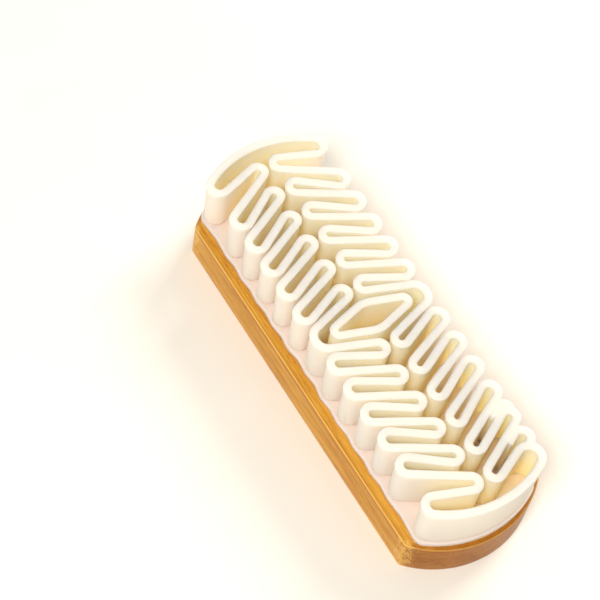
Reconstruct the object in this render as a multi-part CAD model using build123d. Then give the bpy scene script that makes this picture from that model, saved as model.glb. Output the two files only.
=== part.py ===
from build123d import *
import math
import os

# A suede brush lying on its back: a flat beech block, and on it a crepe rubber sheet that carries one
# long rubber strip standing on edge in folds, with a diamond-shaped ring of the same strip in the middle.
# Millimetres. The origin is the centre of the block's flat back, +X runs along the brush and +Z is up
# through the rubber.

# Beech block
block_length = 125.0
block_width = 41.5
block_thickness = 12.5
block_end_radius = 29.0  # each end is one shallow arc
block_corner_radius = 1.6  # upright edge where an end meets a side
block_chamfer = 1.2  # round the face that carries the rubber
block_back_chamfer = 0.5  # eased edge round the flat back

# Glue film between the block and the rubber sheet
glue_thickness = 0.2
glue_inset = 0.7  # how far the film stays inside the sheet's edge

# Rubber sheet
sheet_thickness = 1.2
sheet_lip = 0.3  # how far the sheet stands out past the strip
sheet_valley_depth = 0.4  # from the edge at the further in of two lobes to the low point between them
sheet_valley_radius = 1.2

# Rubber strip, standing on the sheet
strip_height = 14.6
strip_thickness = 1.8
strip_rim_round = 0.62  # soft moulded edge along the rim

# Folds. A tip is a turn near the middle line, a lobe is a turn near the block's side.
fold_pitch = 8.66  # wished-for distance between tips, evened out over the length
least_slot = 1  # the least room between the walls of two lobes
tip_gap = 1.3  # between two tips that face each other
tip_turn_radius = 1.94  # to the middle of the strip, as are the turns below
first_tip_place = 9.2  # from the brush's middle
last_tip_inset = 10.0  # from the block's end
lobe_turn_radius = 2.3
lobe_inset = 2.55  # from the block's side to the lobes' outer faces
first_lobe_gap = 0.7  # between the middle lobe's wall and the first lobe's, along the brush
last_lobe_gap = 12.2  # from the last lobe's centre to the end lobe's, along the brush
middle_lobe_turn_radius = 3.6  # the wide lobes beside the ring
middle_lobe_inset = 2.85
end_lobe_turn_radius = 2.5
end_lobe_inset = 2.45
end_wall_inset = 1.45  # from the block's end to the wall that closes the strip
end_wall_flattening = 0.7  # how much larger its radius is than the block end's

# Closing corner, at +X and +Y, where the strip's two ends are bonded. One end makes a loop across the
# mouth of the last slot, and the other is lapped into the mouth of the slot before it.
closing_lobe_shift = 0.4  # how much nearer to the end the last lobe stands there
closing_lobe_turn_radius = 1.9
closing_end_lobe_turn_radius = 3.2
closing_end_lobe_inset = 3.1
loop_turn_radius = 2.25
loop_bond = 0.5  # how deep the loop reaches into the last lobe's wall
loop_leg_length = 3.3  # beside the last lobe
loop_foot_length = 0.8  # in the end lobe's wall
lap_turn_radius = 2.2
lap_bond = 0.3  # how deep the lap reaches into the walls beside it
lap_rise = 0.6  # how far outside the lobes' centres the lap's centre is
lap_reach = 3.5  # from the lobes' centres inwards
lap_drop = 0.2  # how far the lap stays below the rim

# Diamond ring
ring_end_gap = 3.97  # between the ring's ends and the middle lobes
ring_side_gap = 1.32  # between the ring's sides and the tips
ring_end_turn_radius = 1.5
ring_side_turn_radius = 7.1

# Two turns that meet closer than this touch, with no line between them
shortest_line = 0.002

# Heights
glue_base = block_thickness
sheet_base = glue_base + glue_thickness
strip_base = sheet_base + sheet_thickness

# Places that the pieces share
half = 1 / 2
half_length = block_length * half
half_width = block_width * half
half_strip = strip_thickness * half
tip_y = tip_gap * half + half_strip + tip_turn_radius
end_wall_radius = block_end_radius + end_wall_flattening
end_wall_x = half_length - end_wall_inset - half_strip - end_wall_radius
first_lobe_place = middle_lobe_turn_radius + lobe_turn_radius + strip_thickness + first_lobe_gap
last_tip_place = half_length - last_tip_inset


# A turn is a circle that a path goes round: centre x and y, radius, and sense, 1 anticlockwise
# and -1 clockwise. A path is a closed list of turns, joined by the lines that touch both.
def touching_line(first, second):
    x0, y0, radius0, sense0 = first
    x1, y1, radius1, sense1 = second
    away = Vector(x1 - x0, y1 - y0)
    along = (sense0 * radius0 - sense1 * radius1) / away.length
    across = math.sqrt(max(0, 1 - along**2))
    ahead = away.normalized()
    right = Vector(ahead.Y, -ahead.X)
    out = ahead * along + right * across
    start = Vector(x0, y0) + out * (sense0 * radius0)
    end = Vector(x1, y1) + out * (sense1 * radius1)
    if (end - start).length < shortest_line:
        return start, start
    return start, end


def turn_arc(turn, start, end):
    x, y, radius, sense = turn
    centre = Vector(x, y)
    full = 2 * math.pi
    start_angle = math.atan2(start.Y - y, start.X - x)
    end_angle = math.atan2(end.Y - y, end.X - x)
    swept = (sense * (end_angle - start_angle)) % full
    middle_angle = start_angle + sense * swept * half
    middle = centre + Vector(math.cos(middle_angle), math.sin(middle_angle)) * radius
    return ThreePointArc(start, middle, end)


def grown(turns, grow):
    return [(x, y, radius + sense * grow, sense) for x, y, radius, sense in turns]


# The path's face, with its edge moved outwards by grow
def path_face(turns, grow=0):
    moved = grown(turns, grow)
    lines = [touching_line(turn, after) for turn, after in zip(moved, moved[1:] + moved[:1])]
    edges = []
    for index, turn in enumerate(moved):
        start = lines[index - 1][1]
        end, next_start = lines[index]
        edges.append(turn_arc(turn, start, end).edge())
        if next_start != end:
            edges.append(Line(end, next_start).edge())
    return make_face(Wire(edges))


def band_face(turns):
    return path_face(turns, half_strip) - path_face(turns, -half_strip)


def standing(face, base, height):
    return extrude(Pos(0, 0, base) * face, height, dir=(0, 0, 1))


def turned_about(turns):
    return [(-x, -y, radius, sense) for x, y, radius, sense in turns]


def even_places(first, last, steps):
    return [first + (last - first) * step / steps for step in range(steps + 1)]


# Block: two end arcs, and small turns at the four corners
def block_turns():
    corner_y = half_width - block_corner_radius
    arc_x = half_length - block_end_radius
    corner_x = arc_x + math.sqrt((block_end_radius - block_corner_radius) ** 2 - corner_y**2)
    side = [
        (arc_x, 0, block_end_radius, 1),
        (corner_x, corner_y, block_corner_radius, 1),
        (-corner_x, corner_y, block_corner_radius, 1),
    ]
    return side + turned_about(side)


def wooden_handle():
    block = standing(path_face(block_turns()), 0, block_thickness)
    block = chamfer(block.faces().sort_by(Axis.Z)[-1].edges(), block_chamfer)
    return chamfer(block.faces().sort_by(Axis.Z)[0].edges(), block_back_chamfer)


# Lobes of the +Y side, from +X to -X, with their outer faces inset from the block's side
def lobe_turn(place, turn_radius, inset):
    return place, half_width - inset - half_strip - turn_radius, turn_radius, 1


def end_lobe_turn(turn_radius, inset):
    y = half_width - inset - half_strip - turn_radius
    place = end_wall_x + math.sqrt((end_wall_radius - turn_radius) ** 2 - y**2)
    return place, y, turn_radius, 1


def last_lobe_place():
    return end_lobe_turn(end_lobe_turn_radius, end_lobe_inset)[0] - last_lobe_gap


# As many folds as the wished-for pitch gives, but no more than there is room for
def fold_steps():
    wished = round((last_tip_place - first_tip_place) / fold_pitch)
    narrowest = 2 * lobe_turn_radius + strip_thickness + least_slot
    most = 1 + math.floor((last_lobe_place() - first_lobe_place) / narrowest)
    return max(2, min(wished, most))


def lobe_turns():
    corner = end_lobe_turn(end_lobe_turn_radius, end_lobe_inset)
    places = even_places(first_lobe_place, last_lobe_place(), fold_steps() - 1)
    inner = [lobe_turn(place, lobe_turn_radius, lobe_inset) for place in places]
    middle = lobe_turn(0, middle_lobe_turn_radius, middle_lobe_inset)
    behind = [(-x, y, radius, sense) for x, y, radius, sense in [*inner, corner]]
    return [corner, *reversed(inner), middle, *behind]


# The same side where the strip closes: its last lobe is narrower and its end lobe is wider
def closing_lobe_turns():
    return [
        end_lobe_turn(closing_end_lobe_turn_radius, closing_end_lobe_inset),
        lobe_turn(last_lobe_place() + closing_lobe_shift, closing_lobe_turn_radius, lobe_inset),
        *lobe_turns()[2:],
    ]


def tip_turns():
    inner = even_places(first_tip_place, last_tip_place, fold_steps())
    places = [*reversed(inner), *[-place for place in inner]]
    return [(place, tip_y, tip_turn_radius, -1) for place in places]


# One side of the strip: the end wall at +X, then lobe and tip in turn to the other end
def strip_side(lobes):
    side = [(end_wall_x, 0, end_wall_radius, 1)]
    for lobe, tip in zip(lobes, tip_turns()):
        side += [lobe, tip]
    return [*side, lobes[-1]]


def strip_turns():
    return strip_side(closing_lobe_turns()) + turned_about(strip_side(lobe_turns()))


# The loop's turn: beside the last lobe's wall, and as far out as the lobes. Ahead is the way that
# wall runs, inwards, and across is the way from it into the slot.
def loop_turn():
    last_lobe = closing_lobe_turns()[1]
    wall_end, wall_start = touching_line(*grown([tip_turns()[0], last_lobe], half_strip))
    ahead = (wall_end - wall_start).normalized()
    across = Vector(-ahead.Y, ahead.X)
    beside = wall_start + across * (loop_turn_radius + half_strip - loop_bond)
    y = half_width - lobe_inset - half_strip - loop_turn_radius
    return beside + ahead * ((y - beside.Y) / ahead.Y), ahead, across


# The loop's long leg lies on the last lobe's wall, and its foot ends in the end lobe's wall
def closing_loop():
    centre, ahead, across = loop_turn()
    along_x, outwards = Vector(1, 0), Vector(0, 1)
    leg = ahead * loop_leg_length
    foot = outwards * -loop_foot_length
    outer_radius = loop_turn_radius + half_strip
    inner_radius = loop_turn_radius - half_strip
    sides = []
    for radius in outer_radius, inner_radius:
        foot_top = centre + along_x * radius
        leg_top = centre - across * radius
        arc = ThreePointArc(foot_top, centre + outwards * radius, leg_top)
        sides.append([Line(foot_top + foot, foot_top), arc, Line(leg_top, leg_top + leg)])
    outer, inner = sides
    ends = [Line(outer[0] @ 0, inner[0] @ 0), Line(outer[-1] @ 1, inner[-1] @ 1)]
    edges = [line.edge() for line in (*outer, *inner, *ends)]
    return standing(make_face(Wire(edges)), strip_base, strip_height)


# The lap's disc bulges past the lobes, and its tail fills the slot's mouth between their walls
def lap_disc(grow=0):
    x, y, turn_radius, sense = closing_lobe_turns()[2]
    lap_radius = lap_turn_radius + half_strip
    lap_x = x + turn_radius + half_strip - lap_bond + lap_radius
    return Pos(lap_x, y + lap_rise) * Circle(lap_radius + grow)


def closing_lap():
    last_lobe, lobe_before = closing_lobe_turns()[1:3]
    width = last_lobe[0] - lobe_before[0]
    middle_x = lobe_before[0] + width * half
    tail = Pos(middle_x, lobe_before[1] - lap_reach * half) * Rectangle(width, lap_reach)
    face = lap_disc() + tail - path_face(strip_turns(), half_strip - lap_bond)
    return standing(face, strip_base, strip_height - lap_drop)


def rounded_rim(solid):
    return fillet(solid.faces().sort_by(Axis.Z)[-1].edges(), strip_rim_round)


def serpentine_strip():
    strip = rounded_rim(standing(band_face(strip_turns()), strip_base, strip_height))
    return strip + rounded_rim(closing_loop()) + closing_lap()


# Ring: two narrow ends towards the middle lobes and two wide sides towards the tips
def centre_ring():
    end_y = half_width - middle_lobe_inset - strip_thickness - ring_end_gap
    end_y -= half_strip + ring_end_turn_radius
    side_x = first_tip_place - tip_turn_radius - half_strip - ring_side_gap
    side_x -= half_strip + ring_side_turn_radius
    turns = [(side_x, 0, ring_side_turn_radius, 1), (0, end_y, ring_end_turn_radius, 1)]
    turns += turned_about(turns)
    return rounded_rim(standing(band_face(turns), strip_base, strip_height))


# Sheet: follows the lobes with a lip, and dips between them
def sheet_valley(before, lobe):
    edge_y = min(y + radius for place, y, radius, sense in (before, lobe))
    y = edge_y - sheet_valley_depth + sheet_valley_radius
    return (before[0] + lobe[0]) * half, y, sheet_valley_radius, -1


def sheet_side(lobes):
    end_wall = (end_wall_x, 0, end_wall_radius, 1)
    side = grown([end_wall, lobes[0]], half_strip + sheet_lip)
    for lobe in grown(lobes[1:], half_strip + sheet_lip):
        side += [sheet_valley(side[-1], lobe), lobe]
    return side


def sheet_turns():
    return sheet_side(closing_lobe_turns()) + turned_about(sheet_side(lobe_turns()))


def rubber_sheet():
    centre = loop_turn()[0]
    under_loop = Pos(centre) * Circle(loop_turn_radius + half_strip + sheet_lip)
    face = path_face(sheet_turns()) + under_loop + lap_disc(sheet_lip)
    return standing(face, sheet_base, sheet_thickness)


def glue_film():
    return standing(path_face(sheet_turns(), -glue_inset), glue_base, glue_thickness)


pieces = {
    "wooden_handle": wooden_handle(),
    "glue_film": glue_film(),
    "rubber_sheet": rubber_sheet(),
    "serpentine_strip": serpentine_strip(),
    "centre_ring": centre_ring(),
}

os.makedirs("parts", exist_ok=True)
for name, piece in pieces.items():
    export_step(piece, f"parts/{name}.step")
    print(name, len(piece.solids()), round(piece.volume, 1))
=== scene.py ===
import math

import bmesh
import bpy
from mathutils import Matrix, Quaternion, Vector


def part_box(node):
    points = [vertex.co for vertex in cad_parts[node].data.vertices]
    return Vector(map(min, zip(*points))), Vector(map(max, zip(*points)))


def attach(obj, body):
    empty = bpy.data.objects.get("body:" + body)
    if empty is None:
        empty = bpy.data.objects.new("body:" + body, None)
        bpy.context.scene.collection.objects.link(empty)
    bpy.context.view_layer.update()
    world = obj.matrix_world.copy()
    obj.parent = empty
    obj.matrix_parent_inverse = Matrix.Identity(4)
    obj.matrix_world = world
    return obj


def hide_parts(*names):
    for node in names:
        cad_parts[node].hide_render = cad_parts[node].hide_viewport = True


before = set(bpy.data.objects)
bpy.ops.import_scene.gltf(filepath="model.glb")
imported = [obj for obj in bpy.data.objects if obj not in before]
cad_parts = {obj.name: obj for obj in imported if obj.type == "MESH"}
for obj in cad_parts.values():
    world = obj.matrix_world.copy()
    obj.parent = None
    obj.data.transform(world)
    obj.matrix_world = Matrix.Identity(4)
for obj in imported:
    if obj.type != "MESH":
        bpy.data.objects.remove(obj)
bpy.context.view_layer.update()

mm = 0.001

# Boxes of the pieces that the dressed ones stand for, in metres
blockLow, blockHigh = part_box("wooden_handle")
sheetLow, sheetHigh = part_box("rubber_sheet")
stripLow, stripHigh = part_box("serpentine_strip")
ringLow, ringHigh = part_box("centre_ring")
halfLength = blockHigh.x / mm
halfWidth = blockHigh.y / mm
endRadius = 29.0  # of the block's arched ends, in millimetres, as all the sizes below

# Helpers. The node kinds and settings that come up most
maths, ramp, noise, mix = "ShaderNodeMath", "ShaderNodeMapRange", "ShaderNodeTexNoise", "ShaderNodeMix"
soft = {"interpolation_type": "SMOOTHSTEP"}
asColours = {"data_type": "RGBA", "output": 2}


# The inputs fill the node's sockets in order, the named ones by name or number: each is a value, or a
# socket to link from. The output asked for comes back.
def addNode(tree, kind, *inputs, named=None, output=0, **settings):
    node = tree.nodes.new(kind)
    for name, value in settings.items():
        setattr(node, name, value)
    for key, value in [*enumerate(inputs), *(named or {}).items()]:
        if isinstance(value, bpy.types.NodeSocket):
            tree.links.new(value, node.inputs[key])
        else:
            node.inputs[key].default_value = value
    return node.outputs[output] if len(node.outputs) else node


def hexToLinear(code):  # "#rrggbb" in sRGB to linear red, green, blue and alpha
    parts = [int(code[i:i + 2], 16) / 255 for i in (1, 3, 5)]
    linear = [p / 12.92 if p <= 0.04045 else ((p + 0.055) / 1.055) ** 2.4 for p in parts]
    return (*linear, 1.0)


def shadesOf(look):  # the look's colours, linear
    return {name: hexToLinear(code) for name, code in look.items() if isinstance(code, str)}


def newMaterial(name):
    material = bpy.data.materials.new(name)
    material.use_nodes = True
    material.node_tree.nodes.clear()
    return material, material.node_tree


def placeInMillimetres(tree, stretch):  # Object coordinates in millimetres, squeezed along each axis
    place = addNode(tree, "ShaderNodeTexCoord", output="Object")
    return addNode(tree, "ShaderNodeMapping", place, named={"Scale": tuple(s / mm for s in stretch)})


# How far in from the block's outline a point lies, in millimetres, from its sides and from its ends
def wayIn(tree):
    place = addNode(tree, "ShaderNodeTexCoord", output="Object")
    size = addNode(tree, "ShaderNodeVectorMath", place, operation="ABSOLUTE")
    apart = addNode(tree, "ShaderNodeSeparateXYZ", size).node.outputs
    fromSide = addNode(tree, maths, blockHigh.y, apart["Y"], operation="SUBTRACT")
    endCentre = blockHigh.x - endRadius * mm
    past = addNode(tree, maths, apart["X"], endCentre, operation="SUBTRACT")
    beyond = addNode(tree, maths, past, 0.0, operation="MAXIMUM")
    flat = addNode(tree, "ShaderNodeCombineXYZ", beyond, apart["Y"])
    reach = addNode(tree, "ShaderNodeVectorMath", flat, operation="LENGTH", output="Value")
    fromEnd = addNode(tree, maths, endRadius * mm, reach, operation="SUBTRACT")
    return [addNode(tree, maths, way, mm, operation="DIVIDE") for way in (fromSide, fromEnd)]


# Lacquered steamed beech: honey brown, straight fibre, short dark ray flecks, and darker end grain
# under a thin sprayed lacquer that leaves a soft sheen. The fibres are drawn coarser than real ones,
# which would be too fine to show.
beechLook = {
    "pale": "#eab044", "deep": "#ba7414", "fleck": "#84500f",
    # The pale edge colour is wear, and along the arris also a painted highlight; the dark edge colour is
    # painted shade
    "endGrain": "#b06c1c", "endRing": "#8a4706", "paleWearAndHighlight": "#f9c76a", "arrisShadeTone": "#a3580c",
    "fibreWidth": 0.42, "fibreLength": 6.0, "fibreShare": 0.51,
    "bandWidth": 3.0, "bandLength": 40.0, "bandShare": 0.34,
    "ringWidth": 2.2, "ringShare": 0.15, "pith": (6.0, -38.0),
    "fleckWidth": 0.5, "fleckLength": 2.6, "fleckStrength": 0.55,
    "endStain": 0.85, "endWearAndHighlight": 0.45, "arrisShadeStrength": 0.8,
    "chipSize": 0.75, "chipReach": 3.6, "chipStrength": 0.5,
    "roughness": 0.46, "coat": 0.14, "coatRoughness": 0.3, "relief": 0.05,
}


def lacqueredBeech():
    look, shades = beechLook, shadesOf(beechLook)
    material, tree = newMaterial("lacquered_beech")

    def alongBlock(length, width):
        return placeInMillimetres(tree, (1 / length, 1 / width, 1 / width))

    fibre = addNode(tree, noise, alongBlock(look["fibreLength"], look["fibreWidth"]), output="Fac",
                    named={"Scale": 1.0, "Detail": 4.0, "Roughness": 0.6, "Distortion": 0.15})
    band = addNode(tree, noise, alongBlock(look["bandLength"], look["bandWidth"]), output="Fac",
                   named={"Scale": 1.0, "Detail": 2.0, "Roughness": 0.5, "Distortion": 0.8})
    # Yearly rings run round the pith, below the block: arcs on the ends and straight bands on the sides
    pithAt = (0.0, -look["pith"][0], -look["pith"][1])
    roundPith = addNode(tree, "ShaderNodeMapping", placeInMillimetres(tree, (0.02, 1.0, 1.0)),
                        named={"Location": pithAt})
    # At a scale of 1 this texture's rings are pi / 10 apart
    rings = addNode(tree, "ShaderNodeTexWave", roundPith, output="Fac",
                    wave_type="RINGS", rings_direction="X", wave_profile="SAW",
                    named={"Scale": math.pi / 10 / look["ringWidth"], "Distortion": 1.6, "Detail": 2.0,
                           "Detail Scale": 0.4, "Detail Roughness": 0.5})
    fibreTone = addNode(tree, ramp, fibre, 0.3, 0.7, 0.0, look["fibreShare"], **soft)
    bandTone = addNode(tree, ramp, band, 0.3, 0.7, 0.0, look["bandShare"], **soft)
    ringTone = addNode(tree, ramp, rings, 0.55, 1.0, 0.0, look["ringShare"], **soft)
    tone = addNode(tree, maths, addNode(tree, maths, fibreTone, bandTone, operation="ADD"), ringTone,
                   operation="ADD")
    colour = addNode(tree, mix, named={0: tone, 6: shades["pale"], 7: shades["deep"]}, **asColours)

    # A fleck is a small cell's middle, kept only where the slow band noise runs high
    cells = addNode(tree, "ShaderNodeTexVoronoi", alongBlock(look["fleckLength"], look["fleckWidth"]),
                    named={"Scale": 1.0, "Randomness": 1.0}, output="Distance")
    flecks = addNode(tree, maths, addNode(tree, ramp, cells, 0.34, 0.12, **soft),
                     addNode(tree, ramp, band, 0.42, 0.62, **soft), operation="MULTIPLY")
    fleckMask = addNode(tree, maths, flecks, look["fleckStrength"], operation="MULTIPLY")
    colour = addNode(tree, mix, named={0: fleckMask, 6: colour, 7: shades["fleck"]}, **asColours)

    # Across the grain the pores soak up stain, so faces that look along the block are darker
    normal = addNode(tree, "ShaderNodeTexCoord", output="Normal")
    facing = addNode(tree, "ShaderNodeSeparateXYZ", normal, output="X")
    alongGrain = addNode(tree, ramp, addNode(tree, maths, facing, operation="ABSOLUTE"), 0.3, 0.75, **soft)
    endMask = addNode(tree, maths, alongGrain, look["endStain"], operation="MULTIPLY")
    endColour = addNode(tree, mix, named={0: tone, 6: shades["endGrain"], 7: shades["endRing"]}, **asColours)
    colour = addNode(tree, mix, named={0: endMask, 6: colour, 7: endColour}, **asColours)

    # Handling rubs the edges pale, less where they cross the grain. Along the chamfer's lower arris the pale
    # band
    #     # is partly a painted highlight, and beside it a painted shade darkens the wood.
    edge = addNode(tree, "ShaderNodeAttribute", attribute_name="edgeWearAndHighlight", output="Fac")
    rubbedAndLit = addNode(tree, maths, edge, addNode(tree, ramp, fibre, 0.25, 0.6, 0.35, 0.9, **soft),
                     operation="MULTIPLY")
    wearAndHighlight = addNode(tree, maths, rubbedAndLit, operation="MULTIPLY",
                   named={1: addNode(tree, ramp, alongGrain, 0.0, 1.0, 1.0, look["endWearAndHighlight"], **soft)})
    colour = addNode(tree, mix, named={0: wearAndHighlight, 6: colour, 7: shades["paleWearAndHighlight"]}, **asColours)
    # Painted shade: a darker band along both sides of the arris
    shade = addNode(tree, "ShaderNodeAttribute", attribute_name="edgeShade", output="Fac")
    paintedArrisShade = addNode(tree, maths, shade, look["arrisShadeStrength"], operation="MULTIPLY")
    colour = addNode(tree, mix, named={0: paintedArrisShade, 6: colour, 7: shades["arrisShadeTone"]}, **asColours)

    # The four upright corners are bruised: pale chips, twice as tall as wide, thickest at the corner
    fromSide, fromEnd = wayIn(tree)
    fromCorner = addNode(tree, maths, fromSide, fromEnd, operation="ADD")
    corner = addNode(tree, ramp, fromCorner, look["chipReach"], 0.0, **soft)
    chipStretch = (0.7 / look["chipSize"], 0.7 / look["chipSize"], 0.35 / look["chipSize"])
    chips = addNode(tree, noise, placeInMillimetres(tree, chipStretch), output="Fac",
                    named={"Scale": 1.0, "Detail": 3.0, "Roughness": 0.7, "Distortion": 0.8})
    thicker = addNode(tree, maths, chips, addNode(tree, maths, corner, 0.2, operation="MULTIPLY"),
                      operation="ADD")
    chipped = addNode(tree, maths, addNode(tree, ramp, thicker, 0.58, 0.7, **soft),
                      addNode(tree, ramp, corner, 0.0, 0.5, 0.0, look["chipStrength"], **soft),
                      operation="MULTIPLY")
    colour = addNode(tree, mix, named={0: chipped, 6: colour, 7: shades["paleWearAndHighlight"]}, **asColours)

    height = addNode(tree, maths, fibre, flecks, operation="SUBTRACT")
    bump = addNode(tree, "ShaderNodeBump",
                   named={"Height": height, "Strength": 0.25, "Distance": look["relief"] * mm})
    shader = addNode(tree, "ShaderNodeBsdfPrincipled", named={
        "Base Color": colour, "Normal": bump, "Roughness": look["roughness"], "IOR": 1.5,
        "Specular IOR Level": 0.2, "Coat Weight": look["coat"], "Coat Roughness": look["coatRoughness"],
        "Coat IOR": 1.5})
    addNode(tree, "ShaderNodeOutputMaterial", shader)
    return material


# Cream crepe rubber, cut from a cured sheet: matt and slightly translucent, so light soaks in and the
# # deep folds glow warm instead of grey. The faces inside the folds also carry a painted amber glow and
# shade,
# # deeper towards the floor, and the rims a painted highlight; the faces that look outwards keep the pale
# cream.
crepeLook = {
    "rim": "#faf3e2", "outer": "#f5e9de", "foot": "#f5e5da", "inner": "#fbf5de", "speck": "#eccf9c",
    "mottleSize": 3.0, "grainSize": 0.5, "roughness": 0.62, "relief": 0.25,
    "unevenBy": 2.0,  # how far the mottle shifts the heights below
    "rimBand": (-1.6, 0.8), "amberFrom": -1.0,  # from the rim
    "amberBy": 2.0, "footBand": (6.0, 0.5),  # from the floor
    "fromSide": (5.0, 13.0), "fromEnd": (3.0, 7.0),  # where the painted glow starts and is full, from the outline
    # How much of the light soaks in, how far, and the painted amber glow at the floor
    "strand": {"depth": 1.0, "radius": 5.0, "deep": "#fbebbe"},
    "sheet": {"depth": 0.4, "radius": 5.0, "deep": "#fbf0d0"},
    "lap": {"depth": 0.5, "radius": 1.4, "deep": "#fbebbe"},
}


def creamCrepe(name, soak, growsInwards):  # growsInwards: the painted glow also grows from the outline inwards
    look, shades = crepeLook, shadesOf(crepeLook)
    material, tree = newMaterial(name)
    mottle = addNode(tree, noise, placeInMillimetres(tree, (1 / look["mottleSize"],) * 3), output="Fac",
                     named={"Scale": 1.0, "Detail": 3.0, "Roughness": 0.55})
    grain = addNode(tree, noise, placeInMillimetres(tree, (1 / look["grainSize"],) * 3), output="Fac",
                    named={"Scale": 1.0, "Detail": 2.0, "Roughness": 0.6})

    place = addNode(tree, "ShaderNodeTexCoord", output="Object")
    height = addNode(tree, "ShaderNodeSeparateXYZ", place, output="Z")
    shift = addNode(tree, maths, mottle, look["unevenBy"] * mm, operation="MULTIPLY")
    uneven = addNode(tree, maths, height, shift, operation="ADD")
    # Painted glow and shade: inside the folds the colour deepens to amber towards the floor, standing in for
    # light bounced round the folds
    below = addNode(tree, ramp, uneven, stripHigh.z + look["amberFrom"] * mm,
                    stripLow.z + look["amberBy"] * mm, **soft)
    nearFloor = addNode(tree, ramp, uneven, *(stripLow.z + h * mm for h in look["footBand"]), **soft)
    nearRim = addNode(tree, ramp, uneven, *(stripHigh.z + h * mm for h in look["rimBand"]), **soft)
    outer = addNode(tree, mix, named={0: nearFloor, 6: shades["outer"], 7: shades["foot"]}, **asColours)
    deep = hexToLinear(soak["deep"])
    inner = addNode(tree, mix, named={0: below, 6: shades["inner"], 7: deep}, **asColours)

    # Painted glow: faces inside the folds take the amber inside colour, the others the pale outer one
    foldGlow = addNode(tree, "ShaderNodeAttribute", attribute_name="foldGlow", output="Fac")
    if growsInwards:
        sideRamp, endRamp = [addNode(tree, ramp, way, *look[name], **soft)
                             for way, name in zip(wayIn(tree), ("fromSide", "fromEnd"))]
        inside = addNode(tree, maths, sideRamp, endRamp, operation="MINIMUM")
        foldGlow = addNode(tree, maths, foldGlow, inside, operation="MAXIMUM")
    colour = addNode(tree, mix, named={0: foldGlow, 6: outer, 7: inner}, **asColours)
    # Painted highlight: paler towards the rim, where the round top catches the light
    colour = addNode(tree, mix, named={0: nearRim, 6: colour, 7: shades["rim"]}, **asColours)
    specks = addNode(tree, ramp, grain, 0.66, 0.78, 0.0, 0.25, **soft)
    colour = addNode(tree, mix, named={0: specks, 6: colour, 7: shades["speck"]}, **asColours)

    relief = addNode(tree, maths, addNode(tree, maths, grain, 0.3, operation="MULTIPLY"), mottle,
                     operation="ADD")
    bump = addNode(tree, "ShaderNodeBump",
                   named={"Height": relief, "Strength": 0.2, "Distance": look["relief"] * mm})
    shader = addNode(tree, "ShaderNodeBsdfPrincipled", subsurface_method="RANDOM_WALK", named={
        "Base Color": colour, "Normal": bump, "Roughness": look["roughness"], "IOR": 1.52,
        "Subsurface Weight": soak["depth"], "Subsurface Radius": (1.0, 0.9, 0.7),
        "Subsurface Scale": soak["radius"] * mm, "Specular IOR Level": 0.35})
    addNode(tree, "ShaderNodeOutputMaterial", shader)
    return material


# Contact adhesive, rolled on: a dull amber film that only shows as a thin line under the sheet
glueLook = {"thin": "#c9a25e", "thick": "#a97c3a", "patchSize": 1.7, "roughness": 0.7}


def contactGlue():
    look, shades = glueLook, shadesOf(glueLook)
    material, tree = newMaterial("contact_adhesive")
    cloud = addNode(tree, noise, placeInMillimetres(tree, (1 / look["patchSize"],) * 3), output="Fac",
                    named={"Scale": 1.0, "Detail": 3.0})
    patches = addNode(tree, ramp, cloud, 0.35, 0.65, **soft)
    colour = addNode(tree, mix, named={0: patches, 6: shades["thin"], 7: shades["thick"]}, **asColours)
    shader = addNode(tree, "ShaderNodeBsdfPrincipled",
                     named={"Base Color": colour, "Roughness": look["roughness"], "IOR": 1.47})
    addNode(tree, "ShaderNodeOutputMaterial", shader)
    return material


# Matt white studio paper: nearly even, with faint warm clouds
paperLook = {"pale": "#fffdf6", "warm": "#fefbf3", "cloudSize": 50.0, "roughness": 0.9}


def studioPaper():
    look, shades = paperLook, shadesOf(paperLook)
    material, tree = newMaterial("studio_paper")
    cloud = addNode(tree, noise, placeInMillimetres(tree, (1 / look["cloudSize"],) * 3), output="Fac",
                    named={"Scale": 1.0, "Detail": 2.0})
    patches = addNode(tree, ramp, cloud, 0.3, 0.7, **soft)
    colour = addNode(tree, mix, named={0: patches, 6: shades["pale"], 7: shades["warm"]}, **asColours)
    shader = addNode(tree, "ShaderNodeBsdfPrincipled", named={
        "Base Color": colour, "Roughness": look["roughness"], "Specular IOR Level": 0.1})
    addNode(tree, "ShaderNodeOutputMaterial", shader)
    return material


beech = lacqueredBeech()
crepe = creamCrepe("cream_crepe_rubber", crepeLook["strand"], True)
sheetCrepe = creamCrepe("cream_crepe_sheet", crepeLook["sheet"], False)
lapCrepe = creamCrepe("cream_crepe_lap", crepeLook["lap"], False)
glue = contactGlue()
paper = studioPaper()
print("materials made")


# The plan. A turn is a circle that a path goes round: centre x and y, radius, and sense, 1
# anticlockwise and -1 clockwise. A path is a closed list of turns joined by the lines that touch both.
# Millimetres.
def touchingLine(first, second):
    x0, y0, radius0, sense0 = first
    x1, y1, radius1, sense1 = second
    away = Vector((x1 - x0, y1 - y0))
    along = max(-1.0, min(1.0, (sense0 * radius0 - sense1 * radius1) / away.length))
    across = math.sqrt(1 - along ** 2)
    ahead = away.normalized()
    out = ahead * along + Vector((ahead.y, -ahead.x)) * across
    return Vector((x0, y0)) + out * (sense0 * radius0), Vector((x1, y1)) + out * (sense1 * radius1)


def joinedUp(turns):
    return [touchingLine(turn, after) for turn, after in zip(turns, turns[1:] + turns[:1])]


def grownBy(turns, grow):
    return [(x, y, radius + sense * grow, sense) for x, y, radius, sense in turns]


wideTurn = 6.0  # a turn of a larger radius gets shorter steps
shortestLine = 0.01  # a shorter line between two turns adds no points


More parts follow.
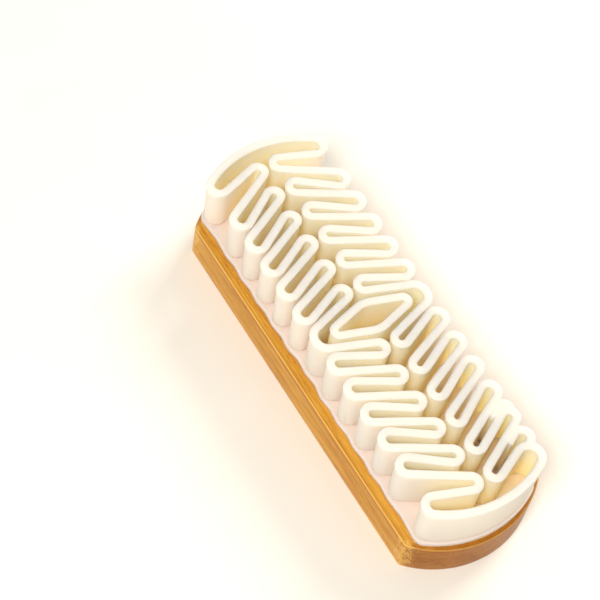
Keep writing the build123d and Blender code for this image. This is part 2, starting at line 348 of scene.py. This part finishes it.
def pathPoints(turns, grow=0.0, arcStep=9.0, lineStep=1.1):  # arcStep in degrees, lineStep in mm
    # The counts come from the path before it grows, so that outlines grown by any amount match
    grown = grownBy(turns, grow)
    lines = joinedUp(grown)
    plainLines = joinedUp(turns)
    points = []
    for index, (x, y, radius, sense) in enumerate(grown):
        start = lines[index - 1][1]
        end, following = lines[index]
        startAngle = math.atan2(start.y - y, start.x - x)
        endAngle = math.atan2(end.y - y, end.x - x)
        swept = (sense * (endAngle - startAngle)) % (2 * math.pi)
        bySize = math.radians(arcStep) * min(1.0, wideTurn / turns[index][2])
        steps = max(2, math.ceil(round(swept / bySize, 3)))
        for step in range(steps):
            angle = startAngle + sense * swept * step / steps
            points.append(Vector((x + radius * math.cos(angle), y + radius * math.sin(angle))))
        plainEnd, plainFollowing = plainLines[index]
        gap = (plainFollowing - plainEnd).length
        pieces = max(1, math.ceil(round(gap / lineStep, 3)))
        for piece in range(pieces if gap > shortestLine else 0):
            points.append(end + (following - end) * piece / pieces)
    return points


def turnedAbout(turns):
    return [(-x, -y, radius, sense) for x, y, radius, sense in turns]


def evenPlaces(first, last, steps):
    return [first + (last - first) * step / steps for step in range(steps + 1)]


foldPlan = {
    "thickness": 1.8, "foldSteps": 5,
    "tipGap": 1.3, "tipTurn": 1.94, "firstTip": 9.2, "lastTipInset": 10.0,
    "lobeTurn": 2.3, "lobeInset": 2.55, "firstLobe": 8.4, "lastLobeGap": 12.2,
    "middleLobeTurn": 3.6, "middleLobeInset": 2.85,
    "endLobeTurn": 2.5, "endLobeInset": 2.45,
    "endWallInset": 1.45, "endWallRadius": 29.7,
    "ringEndGap": 3.97, "ringSideGap": 1.32, "ringEndTurn": 1.5, "ringSideTurn": 7.1,
}
halfStrip = foldPlan["thickness"] / 2
tipY = foldPlan["tipGap"] / 2 + halfStrip + foldPlan["tipTurn"]
endWallX = halfLength - foldPlan["endWallInset"] - halfStrip - foldPlan["endWallRadius"]
endWall = (endWallX, 0.0, foldPlan["endWallRadius"], 1)


def lobeTurn(place, radius, inset):
    return place, halfWidth - inset - halfStrip - radius, radius, 1


def endLobeTurn(radius, inset):
    y = lobeTurn(0.0, radius, inset)[1]
    return endWallX + math.sqrt((foldPlan["endWallRadius"] - radius) ** 2 - y ** 2), y, radius, 1


def lobeTurns():  # the +Y side, from +X to -X
    plan = foldPlan
    corner = endLobeTurn(plan["endLobeTurn"], plan["endLobeInset"])
    places = evenPlaces(plan["firstLobe"], corner[0] - plan["lastLobeGap"], plan["foldSteps"] - 1)
    inner = [lobeTurn(place, plan["lobeTurn"], plan["lobeInset"]) for place in places]
    middle = lobeTurn(0.0, plan["middleLobeTurn"], plan["middleLobeInset"])
    behind = [(-x, y, radius, sense) for x, y, radius, sense in [*inner, corner]]
    return [corner, *reversed(inner), middle, *behind]


def tipTurns():
    inner = evenPlaces(foldPlan["firstTip"], halfLength - foldPlan["lastTipInset"], foldPlan["foldSteps"])
    places = [*reversed(inner), *[-place for place in inner]]
    return [(place, tipY, foldPlan["tipTurn"], -1) for place in places]


# The corner at +X and +Y, where the strip's two ends are bonded: one makes a loop across the mouth of
# the last slot, the other is lapped into the mouth of the slot before it
closingPlan = {
    "lobeShift": 0.4, "lobeTurn": 1.9, "endLobeTurn": 3.2, "endLobeInset": 3.1,
    "loopTurn": 2.25, "loopBond": 0.5, "loopLeg": 3.3, "loopFoot": 0.8, "loopSteps": 24,
    "lapTurn": 2.2, "lapBond": 0.3, "lapRise": 0.6, "lapReach": 3.5, "lapCorner": 0.7, "lapDrop": 0.12,
    "lapBack": 1.2, "lapTail": 0.42,  # shares: of the corner, and of the slot's width
    "lapUpright": 0.9, "lapSteps": 5,  # share of the height below the round rim, and its steps
    "lapRimLess": 0.04, "lapMargin": 0.05,
}


def closingLobeTurns():
    plan = closingPlan
    lastLobe, *others = lobeTurns()[1:]
    return [endLobeTurn(plan["endLobeTurn"], plan["endLobeInset"]),
            lobeTurn(lastLobe[0] + plan["lobeShift"], plan["lobeTurn"], foldPlan["lobeInset"]), *others]


def stripSide(lobes):
    side = [endWall]
    for lobe, tip in zip(lobes, tipTurns()):
        side += [lobe, tip]
    return [*side, lobes[-1]]


def stripTurns():
    return stripSide(closingLobeTurns()) + turnedAbout(stripSide(lobeTurns()))


def ringTurns():
    plan = foldPlan
    endY = halfWidth - plan["middleLobeInset"] - plan["thickness"] - plan["ringEndGap"]
    endY -= halfStrip + plan["ringEndTurn"]
    sideX = plan["firstTip"] - plan["tipTurn"] - halfStrip - plan["ringSideGap"]
    sideX -= halfStrip + plan["ringSideTurn"]
    turns = [(sideX, 0.0, plan["ringSideTurn"], 1), (0.0, endY, plan["ringEndTurn"], 1)]
    return turns + turnedAbout(turns)


def loopFrame():  # the loop's centre, the way the last lobe's wall runs, and the way into the slot
    wallEnd, wallStart = touchingLine(*grownBy([tipTurns()[0], closingLobeTurns()[1]], halfStrip))
    ahead = (wallEnd - wallStart).normalized()
    across = Vector((-ahead.y, ahead.x))
    beside = wallStart + across * (closingPlan["loopTurn"] + halfStrip - closingPlan["loopBond"])
    y = lobeTurn(0.0, closingPlan["loopTurn"], foldPlan["lobeInset"])[1]
    return beside + ahead * ((y - beside.y) / ahead.y), ahead, across


def loopPoints():
    centre, ahead, across = loopFrame()
    turn = closingPlan["loopTurn"]
    swept = math.atan2(-across.y, -across.x) % (2 * math.pi)
    arch = [centre + Vector((math.cos(angle), math.sin(angle))) * turn
            for angle in evenPlaces(0.0, swept, closingPlan["loopSteps"])]
    leg = [arch[-1] + ahead * closingPlan["loopLeg"] * share for share in (1 / 3, 2 / 3, 1)]
    return [arch[0] - Vector((0, closingPlan["loopFoot"])), *arch, *leg]


def lapDisc():
    x, y, turn, sense = closingLobeTurns()[2]
    radius = closingPlan["lapTurn"] + halfStrip
    return x + turn + halfStrip - closingPlan["lapBond"] + radius, y + closingPlan["lapRise"], radius, 1


# The lap: over the disc, down the wall of the lobe before, round the tail's end in the slot, and back up
# the last lobe to a blunt corner on its shoulder
def lapTurns():
    lastLobe, lobeBefore = grownBy(closingLobeTurns()[1:3], halfStrip - closingPlan["lapBond"])
    tip = grownBy(tipTurns()[1:2], halfStrip - closingPlan["lapBond"])[0]
    disc = lapDisc()
    corner = closingPlan["lapCorner"]
    tailY = lobeBefore[1] - closingPlan["lapReach"] + closingPlan["lapBack"] * corner
    walls = [touchingLine(tip, lobeBefore), touchingLine(lastLobe, tip)]
    left, right = [start.lerp(end, (tailY - start.y) / (end.y - start.y)) for start, end in walls]
    middle = (left + right) / 2
    tailEnd = (middle.x, middle.y, (right - left).length * closingPlan["lapTail"], 1)
    away = Vector((lastLobe[0] - disc[0], lastLobe[1] - disc[1]))
    inner, outer = disc[2] - corner, lastLobe[2] + corner
    along = (inner ** 2 - outer ** 2 + away.length_squared) / (2 * away.length)
    ahead = away.normalized()
    aside = Vector((-ahead.y, ahead.x)) * math.sqrt(inner ** 2 - along ** 2)
    blunt = Vector(disc[:2]) + ahead * along + aside
    shoulder = (lastLobe[0], lastLobe[1], lastLobe[2], -1)
    return [disc, tailEnd, shoulder, (blunt.x, blunt.y, corner, 1)]


# The sheet follows the lobes with a lip and dips between them
sheetPlan = {"lip": 0.3, "valleyDepth": 0.4, "valleyRadius": 1.2, "edgeRound": 0.35,
             "curl": 0.62, "curlGap": 0.02, "curlSlope": 0.04, "curlTuck": 0.06, "curlTurn": 0.08,
             "roundSteps": 4}


def sheetValley(before, turn):
    edgeY = min(y + radius for place, y, radius, sense in (before, turn))
    radius = sheetPlan["valleyRadius"]
    return (before[0] + turn[0]) / 2, edgeY - sheetPlan["valleyDepth"] + radius, radius, -1


def sheetSide(turns, dips):  # dips: the gaps between turns, from +X, that have a valley
    side = grownBy([endWall, turns[0]], halfStrip + sheetPlan["lip"])
    for index, turn in enumerate(grownBy(turns[1:], halfStrip + sheetPlan["lip"])):
        if index in dips:
            side.append(sheetValley(side[-1], turn))
        side.append(turn)
    return side


def sheetTurns():
    corner, lastLobe, *others = closingLobeTurns()
    centre = loopFrame()[0]
    loop = (centre.x, centre.y, closingPlan["loopTurn"], 1)
    x, y, radius, sense = lapDisc()
    closing = [corner, loop, (x, y, radius - halfStrip, sense), *others]
    plain = lobeTurns()
    return (sheetSide(closing, range(2, len(closing)))
            + turnedAbout(sheetSide(plain, range(len(plain)))))


print("plan laid out")


# Geometry Nodes: a strip stood on edge along a path, with a soft rim, a slight sway and a foot that
# flares where it is bonded down. Millimetres.
stripMake = {
    "rimRound": 0.86, "footRound": 0.12, "rimTaper": 0.2, "roundSteps": 5, "heightCuts": 10,
    "flare": 0.28, "flareHeight": 1.5,
    "sway": 0.16, "swayLength": 11.0, "ripple": 0.035, "rippleLength": 2.2,
    "seed": 3.0, "rippleSeedShift": 7.0, "topRoom": 0.06,
}
stripInputs = {
    "NodeSocketGeometry": ("Path",),
    "NodeSocketFloat": (
        "Thickness", "Height", "Base Height", "Rim Round", "Foot Round", "Flare", "Flare Height",
        "Taper", "Sway", "Sway Length", "Ripple", "Ripple Length", "Seed", "Outer Glow"),
    "NodeSocketInt": ("Round Steps", "Height Cuts"),
    "NodeSocketMaterial": ("Material",),
}


def standingStripTree():
    tree = bpy.data.node_groups.new("standingStrip", "GeometryNodeTree")
    ids = {name: tree.interface.new_socket(name, in_out="INPUT", socket_type=kind).identifier
           for kind, names in stripInputs.items() for name in names}
    tree.interface.new_socket("Strip", in_out="OUTPUT", socket_type="NodeSocketGeometry")
    given = addNode(tree, "NodeGroupInput").node.outputs
    halfHeight = addNode(tree, maths, given["Height"], 0.5, operation="MULTIPLY")
    halfThickness = addNode(tree, maths, given["Thickness"], 0.5, operation="MULTIPLY")

    # The section: an upright rectangle whose corners are rounded, more at the rim than at the foot
    section = addNode(tree, "GeometryNodeCurvePrimitiveQuadrilateral",
                      named={"Width": given["Thickness"], "Height": given["Height"]})
    place = addNode(tree, "GeometryNodeInputPosition")
    up = addNode(tree, "ShaderNodeSeparateXYZ", place, output="Y")
    isRim = addNode(tree, "FunctionNodeCompare", up, 0.0, operation="GREATER_THAN")
    roundness = addNode(tree, "GeometryNodeSwitch", input_type="FLOAT", named={
        "Switch": isRim, "False": given["Foot Round"], "True": given["Rim Round"]})
    rounded = addNode(tree, "GeometryNodeFilletCurve", mode="POLY", named={
        "Curve": section, "Count": given["Round Steps"], "Radius": roundness, "Limit Radius": True})
    # Only the two long sides are cut into steps, so that they can sway
    nextPoint = addNode(tree, "GeometryNodeOffsetPointInCurve", named={"Offset": 1}, output="Point Index")
    nextPlace = addNode(tree, "GeometryNodeFieldAtIndex", data_type="FLOAT_VECTOR",
                        named={"Index": nextPoint, "Value": place})
    sideLength = addNode(tree, "ShaderNodeVectorMath", place, nextPlace, operation="DISTANCE",
                         output="Value")
    isLong = addNode(tree, "FunctionNodeCompare", sideLength, halfHeight, operation="GREATER_THAN")
    cuts = addNode(tree, "GeometryNodeSwitch", input_type="INT", named={
        "Switch": isLong, "False": 0, "True": given["Height Cuts"]})
    stepped = addNode(tree, "GeometryNodeSubdivideCurve", named={"Curve": rounded, "Cuts": cuts})

    # The foot widens where it is bonded to the sheet, and the wall thins a little towards the rim
    fromFoot = addNode(tree, maths, up, halfHeight, operation="ADD")
    aboveFoot = addNode(tree, maths, fromFoot, given["Flare Height"], operation="DIVIDE")
    below = addNode(tree, maths, 1.0, aboveFoot, operation="SUBTRACT")
    spread = addNode(tree, maths, addNode(tree, maths, below, 0.0, operation="MAXIMUM"), 1.5,
                     operation="POWER")
    sideways = addNode(tree, "ShaderNodeSeparateXYZ", place, output="X")
    flare = addNode(tree, maths, addNode(tree, maths, sideways, operation="SIGN"),
                    addNode(tree, maths, spread, given["Flare"], operation="MULTIPLY"),
                    operation="MULTIPLY")
    rising = addNode(tree, maths, addNode(tree, maths, up, given["Height"], operation="DIVIDE"), 0.5,
                     operation="ADD")
    thinner = addNode(tree, maths, rising, given["Taper"], operation="MULTIPLY")
    slimming = addNode(tree, maths, thinner, halfThickness, operation="DIVIDE")
    inwards = addNode(tree, maths, sideways, slimming, operation="MULTIPLY")
    outwards = addNode(tree, maths, flare, inwards, operation="SUBTRACT")
    flared = addNode(tree, "GeometryNodeSetPosition", stepped,
                     named={"Offset": addNode(tree, "ShaderNodeCombineXYZ", outwards)})

    # The face on the path's left gets all of the painted glow of the folds' insides, the one on its right as
    # much as Outer Glow says
    glowShare = addNode(tree, ramp, sideways, halfThickness,
                      addNode(tree, maths, halfThickness, -1.0, operation="MULTIPLY"),
                      given["Outer Glow"], 1.0)
    marked = addNode(tree, "GeometryNodeStoreNamedAttribute", flared, data_type="FLOAT", domain="POINT",
                     named={"Name": "foldGlow", "Value": glowShare})

    upright = addNode(tree, "GeometryNodeSetCurveNormal", given["Path"], mode="Z_UP")
    swept = addNode(tree, "GeometryNodeCurveToMesh",
                    named={"Curve": upright, "Profile Curve": marked, "Fill Caps": True})
    middle = addNode(tree, maths, given["Base Height"], halfHeight, operation="ADD")
    lifted = addNode(tree, "GeometryNodeSetPosition", swept,
                     named={"Offset": addNode(tree, "ShaderNodeCombineXYZ", named={"Z": middle})})

    # Sway grows with height above the bonded foot, the ripple is the same all over
    height = addNode(tree, "ShaderNodeSeparateXYZ", place, output="Z")
    aboveSheet = addNode(tree, maths, height, given["Base Height"], operation="SUBTRACT")
    climb = addNode(tree, maths, aboveSheet, given["Height"], operation="DIVIDE")

    def wobble(size, length, seedShift):
        cloud = addNode(tree, noise, place, output="Color", noise_dimensions="4D", named={
            "W": addNode(tree, maths, given["Seed"], seedShift, operation="ADD"),
            "Scale": addNode(tree, maths, 1.0, length, operation="DIVIDE"), "Detail": 1.0})
        centred = addNode(tree, "ShaderNodeVectorMath", cloud, (0.5, 0.5, 0.5), operation="SUBTRACT")
        flat = addNode(tree, "ShaderNodeVectorMath", centred, (2.0, 2.0, 0.0), operation="MULTIPLY")
        return addNode(tree, "ShaderNodeVectorMath", flat, named={"Scale": size}, operation="SCALE")

    swaySize = addNode(tree, maths, given["Sway"], climb, operation="MULTIPLY")
    sway = wobble(swaySize, given["Sway Length"], 0.0)
    ripple = wobble(given["Ripple"], given["Ripple Length"], stripMake["rippleSeedShift"])
    moved = addNode(tree, "GeometryNodeSetPosition", lifted,
                    named={"Offset": addNode(tree, "ShaderNodeVectorMath", sway, ripple, operation="ADD")})
    smooth = addNode(tree, "GeometryNodeSetShadeSmooth", moved)
    real = addNode(tree, "GeometryNodeRealizeInstances", smooth)
    dressed = addNode(tree, "GeometryNodeSetMaterial", real, named={"Material": given["Material"]})
    addNode(tree, "NodeGroupOutput", dressed)
    return tree, ids


def stripAlong(name, points, closed, low, high, outerGlow=0.0):  # points in mm
    curve = bpy.data.curves.new(name + "Path", "CURVE")
    curve.dimensions = "3D"
    spline = curve.splines.new("POLY")
    spline.points.add(len(points) - 1)
    for target, point in zip(spline.points, points):
        target.co = (point.x * mm, point.y * mm, 0.0, 1.0)
    spline.use_cyclic_u = closed
    holder = bpy.data.objects.new(name + "Path", curve)
    bpy.context.collection.objects.link(holder)
    modifier = holder.modifiers.new("strip", "NODES")
    modifier.node_group = stripTree
    make = stripMake
    values = {
        "Thickness": foldPlan["thickness"] * mm, "Height": high - low - make["topRoom"] * mm,
        "Base Height": low, "Rim Round": make["rimRound"] * mm, "Foot Round": make["footRound"] * mm,
        "Flare": make["flare"] * mm, "Flare Height": make["flareHeight"] * mm,
        "Taper": make["rimTaper"] * mm,
        "Round Steps": make["roundSteps"], "Height Cuts": make["heightCuts"],
        "Sway": make["sway"] * mm, "Sway Length": make["swayLength"] * mm,
        "Ripple": make["ripple"] * mm, "Ripple Length": make["rippleLength"] * mm,
        "Seed": make["seed"], "Outer Glow": outerGlow, "Material": crepe,
    }
    for socket, value in values.items():
        modifier[stripIds[socket]] = value
    bpy.context.view_layer.update()
    evaluated = holder.evaluated_get(bpy.context.evaluated_depsgraph_get())
    mesh = bpy.data.meshes.new_from_object(evaluated)
    mesh.name = name
    bpy.data.objects.remove(holder)
    piece = bpy.data.objects.new(name, mesh)
    bpy.context.collection.objects.link(piece)
    return piece


stripTree, stripIds = standingStripTree()
folds = stripAlong("crepeFolds", pathPoints(stripTurns()), True, stripLow.z, stripHigh.z)
loop = stripAlong("crepeLoop", loopPoints(), False, stripLow.z, stripHigh.z)
ring = stripAlong("crepeRing", pathPoints(ringTurns(), arcStep=6.0, lineStep=0.8), True,
                  ringLow.z, ringHigh.z, outerGlow=1.0)
print("folds swept:", len(folds.data.polygons), "faces, ring:", len(ring.data.polygons))


# A solid built from one outline repeated at several heights. layers: (grow outwards, height) in mm,
# # bottom first; marks: attributes by name, with a value for each layer; patch: outline of the part of the
# # top that gets the painted glow of the folds' insides.
def layeredSolid(name, turns, layers, material, marks=None, patch=None, arcStep=9.0, lineStep=1.1):
    build = bmesh.new()
    rings = []
    for grow, height in layers:
        outline = pathPoints(turns, grow, arcStep, lineStep)
        rings.append([build.verts.new((p.x * mm, p.y * mm, height * mm)) for p in outline])
    for lower, upper in zip(rings, rings[1:]):
        for i in range(len(lower)):
            j = (i + 1) % len(lower)
            build.faces.new((lower[i], lower[j], upper[j], upper[i]))
    build.faces.new(list(reversed(rings[0])))
    if patch:
        foldGlow = build.faces.layers.float.new("foldGlow")
        shore = [build.verts.new((p.x * mm, p.y * mm, layers[-1][1] * mm)) for p in patch]
        build.faces.new(shore)[foldGlow] = 1.0
        bank = [build.edges.get(pair) for line in (rings[-1], shore)
                for pair in zip(line, line[1:] + line[:1])]
        bmesh.ops.triangle_fill(build, use_beauty=True, use_dissolve=False, edges=bank, normal=(0, 0, 1))
    else:
        build.faces.new(rings[-1])
    mesh = bpy.data.meshes.new(name)
    build.to_mesh(mesh)
    build.free()
    mesh.shade_smooth()
    for mark, values in (marks or {}).items():
        attribute = mesh.attributes.new(mark, "FLOAT", "POINT")
        for index in range(len(mesh.vertices)):
            attribute.data[index].value = values[index // len(rings[0])]
    mesh.materials.append(material)
    piece = bpy.data.objects.new(name, mesh)
    bpy.context.collection.objects.link(piece)
    return piece


blockPlan = {
    "endRadius": endRadius, "cornerRadius": 1.6, "chamfer": 1.2, "arris": 0.18,
    "backRound": 0.5, "backSteps": 4, "backWear": 0.25,
}


def blockTurns():
    plan = blockPlan
    cornerY = halfWidth - plan["cornerRadius"]
    arcX = halfLength - plan["endRadius"]
    cornerX = arcX + math.sqrt((plan["endRadius"] - plan["cornerRadius"]) ** 2 - cornerY ** 2)
    side = [(arcX, 0.0, plan["endRadius"], 1), (cornerX, cornerY, plan["cornerRadius"], 1),
            (-cornerX, cornerY, plan["cornerRadius"], 1)]
    return side + turnedAbout(side)


# The round back edge, the side, the softened chamfer and the face under the rubber. A row is how far
# # the outline grows, its height, how pale it is from wear (at the arris also a painted highlight), and how
# much painted shade it carries.
def blockLayers():
    plan = blockPlan
    top = blockHigh.z / mm
    chamfer, arris = plan["chamfer"], plan["arris"]
    low = top - chamfer
    rows = [(-plan["backRound"] * (1 - math.sin(angle)), plan["backRound"] * (1 - math.cos(angle)),
             plan["backWear"], 0.0) for angle in evenPlaces(0.0, math.pi / 2, plan["backSteps"])]
    rows += [
        (0.0, top * 0.3, 0.0, 0.0), (0.0, top * 0.6, 0.0, 0.0), (0.0, low - 6 * arris, 0.0, 0.0),
        (0.0, low - 3 * arris, 0.0, 1.0), (0.0, low - 1.5 * arris, 0.3, 0.6), (0.0, low - arris, 1.0, 0.0),
        (-0.3 * arris, low + 0.3 * arris, 1.0, 0.0), (-arris, low + arris, 1.0, 0.0),
        (-2 * arris, low + 2 * arris, 0.0, 0.5), (-0.5 * chamfer, low + 0.5 * chamfer, 0.0, 0.1),
        (-chamfer + arris, top - arris, 0.0, 0.0), (-chamfer - 0.1 * arris, top - 0.25 * arris, 0.0, 0.0),
        (-chamfer - arris, top, 0.0, 0.0), (-chamfer - 3 * arris, top, 0.0, 0.0),
    ]
    layers = [(grow, height) for grow, height, paleWearAndHighlight, shaded in rows]
    return layers, {"edgeWearAndHighlight": [row[2] for row in rows], "edgeShade": [row[3] for row in rows]}


layers, marks = blockLayers()
block = layeredSolid("beechBlock", blockTurns(), layers, beech, marks)
print("block built")


def sheetLayers():  # its lip curls down over the glue film, and the edge on top is round
    plan = sheetPlan
    low, high = sheetLow.z / mm, sheetHigh.z / mm
    seat = blockHigh.z / mm + plan["curlGap"]
    edge = plan["edgeRound"]
    layers = [(-plan["curl"], low), (-plan["curl"] + plan["curlSlope"], seat), (-plan["curlTuck"], seat),
              (0.0, seat + plan["curlTurn"])]
    for angle in evenPlaces(0.0, math.pi / 2, plan["roundSteps"]):
        layers.append((-edge * (1 - math.cos(angle)), high - edge * (1 - math.sin(angle))))
    layers.append((-2 * edge, high))
    return layers


sheet = layeredSolid("crepeSheet", sheetTurns(), sheetLayers(), sheetCrepe, patch=pathPoints(stripTurns()))
print("sheet built")


def lapLayers():
    plan = closingPlan
    low, high = stripLow.z / mm, stripHigh.z / mm - stripMake["topRoom"] - plan["lapDrop"]
    rim = stripMake["rimRound"] - plan["lapRimLess"]
    shares = evenPlaces(0.0, plan["lapUpright"], plan["lapSteps"])
    layers = [(0.0, low + (high - low) * share) for share in shares]
    for angle in evenPlaces(0.0, math.pi / 2, stripMake["roundSteps"]):
        layers.append((-rim * (1 - math.cos(angle)), high - rim * (1 - math.sin(angle))))
    return layers


lap = layeredSolid("crepeLap", lapTurns(), lapLayers(), lapCrepe, lineStep=0.6)


# Bonded rubber is one solid: no inner walls are left for the light in it to meet
def bondInto(piece, others):
    for other in others:
        modifier = piece.modifiers.new("bond", "BOOLEAN")
        modifier.operation = "UNION"
        modifier.solver = "EXACT"
        modifier.object = other
    bpy.context.view_layer.update()
    bonded = bpy.data.meshes.new_from_object(piece.evaluated_get(bpy.context.evaluated_depsgraph_get()))
    piece.modifiers.clear()
    bonded.name = piece.name
    piece.data = bonded
    for other in others:
        bpy.data.objects.remove(other)


def clearGlow(piece, outline):  # the lap faces the outside all over, so it gets none of the painted glow
    low = Vector((min(p.x for p in outline), min(p.y for p in outline)))
    high = Vector((max(p.x for p in outline), max(p.y for p in outline)))
    glowShare = piece.data.attributes["foldGlow"].data
    for vertex in piece.data.vertices:
        x, y = vertex.co.x / mm, vertex.co.y / mm
        if not (low.x <= x <= high.x and low.y <= y <= high.y):
            continue
        crossings = [first for first, second in zip(outline, outline[1:] + outline[:1])
                     if (first.y > y) != (second.y > y)
                     and x < first.x + (y - first.y) / (second.y - first.y) * (second.x - first.x)]
        if len(crossings) % 2:
            glowShare[vertex.index].value = 0.0


bondInto(folds, (loop, lap))
clearGlow(folds, pathPoints(lapTurns(), closingPlan["lapMargin"]))
print("loop and lap bonded:", len(folds.data.polygons), "faces")

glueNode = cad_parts["glue_film"]
glueNode.data.materials.clear()
glueNode.data.materials.append(glue)

for piece, node, slot in (
    (block, "wooden_handle", "beech"), (sheet, "rubber_sheet", "crepe_rubber"),
    (folds, "serpentine_strip", "crepe_rubber"), (ring, "centre_ring", "crepe_rubber"),
):
    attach(piece, "root")
    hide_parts(node)


# Stage, lights and camera
stagePlan = {"floorSize": 4.0, "skyStrength": 0.32, "skyColour": "#fffaf4"}  # the floor in metres


def paperFloor():
    build = bmesh.new()
    reach = stagePlan["floorSize"] / 2
    corners = [build.verts.new((x * reach, y * reach, 0.0)) for x, y in ((-1, -1), (1, -1), (1, 1), (-1, 1))]
    build.faces.new(corners)
    mesh = bpy.data.meshes.new("paperFloor")
    build.to_mesh(mesh)
    build.free()
    mesh.materials.append(paper)
    floor = bpy.data.objects.new("paperFloor", mesh)
    bpy.context.collection.objects.link(floor)


def softSky():
    world = bpy.data.worlds.new("softSky")
    world.use_nodes = True
    background = world.node_tree.nodes["Background"]
    background.inputs["Color"].default_value = hexToLinear(stagePlan["skyColour"])
    background.inputs["Strength"].default_value = stagePlan["skyStrength"]
    bpy.context.scene.world = world


softBoxes = {  # place, aim and size in mm
    "keyBox": {"place": (225, -410, 714), "aim": (0, 0, 10), "size": 240, "watts": 4.7,
               "colour": "#fffbf4"},
    "sideBox": {"place": (-200, 540, 520), "aim": (0, 0, 10), "size": 300, "watts": 3.5,
                "colour": "#fffbf4"},
}


def aimAt(place, aim):
    return (Vector(aim) - Vector(place)).to_track_quat("-Z", "Y")


def softBox(name, plan):
    light = bpy.data.lights.new(name, "AREA")
    light.shape = "SQUARE"
    light.size = plan["size"] * mm
    light.energy = plan["watts"]
    light.color = hexToLinear(plan["colour"])[:3]
    holder = bpy.data.objects.new(name, light)
    holder.location = Vector(plan["place"]) * mm
    holder.rotation_mode = "QUATERNION"
    holder.rotation_quaternion = aimAt(plan["place"], plan["aim"])
    bpy.context.collection.objects.link(holder)


cameraPlan = {  # millimetres, and degrees of roll about the line of sight
    "place": (189.952, -194.001, 446.25), "aim": (-19.44, -8.02, 14.0), "roll": 12.515, "lens": 115.812,
}


def studioCamera():
    plan = cameraPlan
    lens = bpy.data.cameras.new("studioCamera")
    lens.sensor_width = 36.0
    lens.lens = plan["lens"]
    lens.clip_start = 0.01
    lens.clip_end = 20.0
    camera = bpy.data.objects.new("studioCamera", lens)
    camera.location = Vector(plan["place"]) * mm
    camera.rotation_mode = "QUATERNION"
    roll = Quaternion((0, 0, 1), math.radians(plan["roll"]))
    camera.rotation_quaternion = aimAt(plan["place"], plan["aim"]) @ roll
    bpy.context.collection.objects.link(camera)
    bpy.context.scene.camera = camera


paperFloor()
softSky()
for name, plan in softBoxes.items():
    softBox(name, plan)
studioCamera()
bpy.context.scene.view_settings.view_transform = "Standard"
bpy.context.scene.view_settings.look = "None"
bpy.context.scene.cycles.diffuse_bounces = 12  # pale rubber passes light on many times
bpy.context.scene.cycles.max_bounces = 16
print("stage, lights and camera set")
